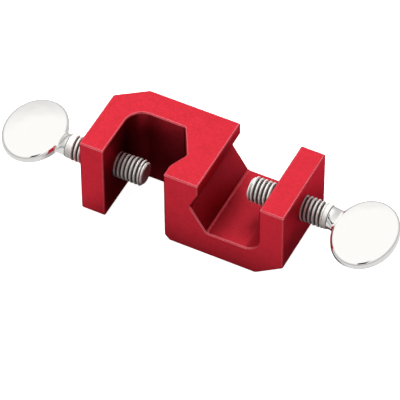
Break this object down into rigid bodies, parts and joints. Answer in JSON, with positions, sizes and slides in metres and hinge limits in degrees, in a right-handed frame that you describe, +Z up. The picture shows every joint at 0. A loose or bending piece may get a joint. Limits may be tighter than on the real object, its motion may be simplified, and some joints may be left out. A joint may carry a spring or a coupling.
{
  "type": "right-angle clamp holder",
  "caption": "Small right-angle clamp holder: one-piece red body with crossed C jaws, each closed by a paddle-headed thumbscrew that presses a rod into a V notch.",
  "frame": {"origin": "centre of the body's bottom face", "axes": "+X along the body, from the vertical-rod jaw to the horizontal-rod jaw; +Y to the back; +Z up"},
  "size_m": [0.1518, 0.0363, 0.034],
  "materials": {
    "body_red": "red anodised, fine matt grain, broken edges",
    "plated_thread": "bright nickel plating on a cut thread",
    "plated_head": "bright nickel plating, polished"
  },
  "bodies": {
    "clamp_body": {"clamp_body": "body_red"},
    "left_stud": {"left_stud": "plated_thread"},
    "left_head": {"left_head": "plated_head"},
    "right_stud": {"right_stud": "plated_thread"},
    "right_head": {"right_head": "plated_head"}
  },
  "joints": [
    {"name": "left_screw_travel", "type": "slide", "parent": "clamp_body", "child": "left_stud", "axis": [1, 0, 0], "range_m": [-0.01095, 0.00778]},
    {"name": "left_screw_turn", "type": "hinge", "parent": "left_stud", "child": "left_head", "pos_m": [-0.04, -0.006, 0.017], "axis": [1, 0, 0], "range_deg": [-2486, 1766]},
    {"name": "right_screw_travel", "type": "slide", "parent": "clamp_body", "child": "right_stud", "axis": [-1, 0, 0], "range_m": [-0.01095, 0.00778]},
    {"name": "right_screw_turn", "type": "hinge", "parent": "right_stud", "child": "right_head", "pos_m": [0.04, 0, 0.023], "axis": [-1, 0, 0], "range_deg": [-2486, 1766]}
  ],
  "couplings": [
    {"joint": "left_screw_turn", "follows": "left_screw_travel", "rad_per_m": 3957.9},
    {"joint": "right_screw_turn", "follows": "right_screw_travel", "rad_per_m": 3957.9}
  ]
}
